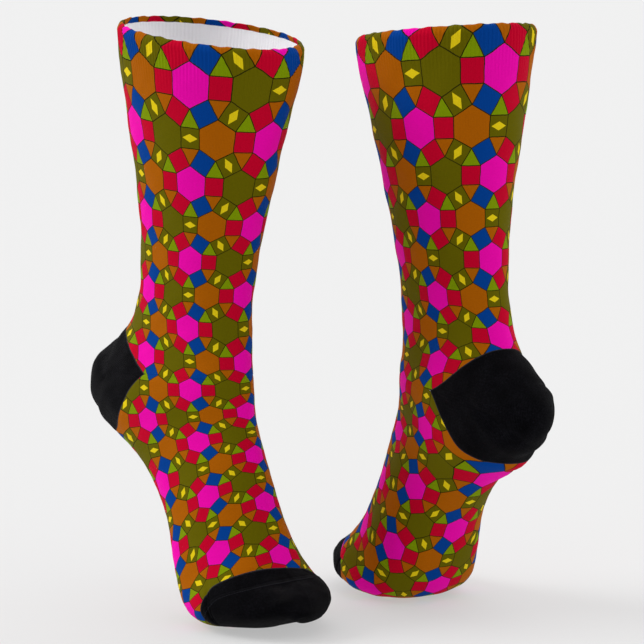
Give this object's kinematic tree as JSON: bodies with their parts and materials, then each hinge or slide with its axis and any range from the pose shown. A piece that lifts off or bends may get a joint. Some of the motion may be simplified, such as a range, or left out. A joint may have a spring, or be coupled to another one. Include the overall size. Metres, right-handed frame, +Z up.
{
  "type": "pair of crew socks",
  "caption": "Pair of crew socks in worn shape on tiptoe: ribbed doubled cuff, patterned leg and foot, black heel cup and toe cap, open and hollow to the toes.",
  "frame": {"origin": "middle of the near sock's cuff opening, where the wearer's leg holds the pair up", "axes": "+X to the far sock, +Y away from the front view, +Z up the legs"},
  "size_m": [0.2938, 0.1878, 0.376],
  "materials": {
    "printed_knit": "fine matt knit with a coloured all-over pattern",
    "printed_rib": "ribbed doubled knit with the same pattern",
    "black_knit": "napped black terry knit"
  },
  "bodies": {
    "root": {"near_cuff": "printed_rib", "near_leg": "printed_knit", "near_heel": "black_knit", "near_foot": "printed_knit", "near_toe": "black_knit", "far_cuff": "printed_rib", "far_leg": "printed_knit", "far_heel": "black_knit", "far_foot": "printed_knit", "far_toe": "black_knit"}
  },
  "joints": []
}
